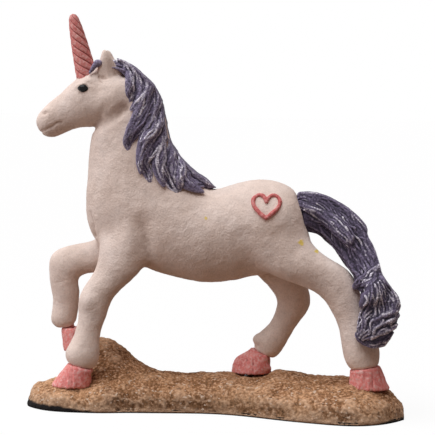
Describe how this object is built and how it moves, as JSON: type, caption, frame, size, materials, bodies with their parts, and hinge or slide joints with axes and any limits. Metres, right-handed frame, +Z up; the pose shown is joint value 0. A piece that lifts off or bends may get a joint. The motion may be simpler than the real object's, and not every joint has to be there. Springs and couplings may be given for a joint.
{
  "type": "unicorn figurine",
  "caption": "Standing unicorn figurine with a raised foreleg, spiral horn, lock-by-lock mane and tail and a raised heart outline, pinned to a sandy plinth with a flat padded underside.",
  "frame": {"origin": "middle of the pad's underside", "axes": "+Z up, the unicorn faces -X and its near side, with the heart, is at -Y"},
  "size_m": [0.1349, 0.0544, 0.141],
  "materials": {
    "cream_paint": "matte chalky paint over a cast body",
    "purple_paint": "matte slate purple with pale dry-brushed strands",
    "pink_paint": "matte dusty pink",
    "coral_paint": "matte coral bead",
    "eye_gloss": "glossy black bead",
    "sand_paint": "rough sand texture, pale on the ridges",
    "pad_felt": "black felt",
    "pin_steel": "plain wire"
  },
  "bodies": {
    "root": {"base": "sand_paint", "base_pad": "pad_felt", "body": "cream_paint", "near_fore_leg": "cream_paint", "far_fore_leg": "cream_paint", "near_hind_leg": "cream_paint", "far_hind_leg": "cream_paint", "near_fore_hoof": "pink_paint", "far_fore_hoof": "pink_paint", "near_hind_hoof": "pink_paint", "far_hind_hoof": "pink_paint", "near_fore_pin": "pin_steel", "near_hind_pin": "pin_steel", "far_hind_pin": "pin_steel", "horn": "pink_paint", "near_ear": "cream_paint", "far_ear": "cream_paint", "near_eye": "eye_gloss", "far_eye": "eye_gloss", "heart_outline": "coral_paint", "forelock": "purple_paint", "mane_crest": "purple_paint", "near_mane_lock_1": "purple_paint", "near_mane_lock_2": "purple_paint", "near_mane_lock_3": "purple_paint", "near_mane_lock_4": "purple_paint", "near_mane_lock_5": "purple_paint", "far_mane_lock_1": "purple_paint", "far_mane_lock_2": "purple_paint", "far_mane_lock_3": "purple_paint", "far_mane_lock_4": "purple_paint", "tail_upper": "purple_paint", "tail_lower": "purple_paint", "tail_curl": "purple_paint", "tail_band": "purple_paint"}
  },
  "joints": []
}
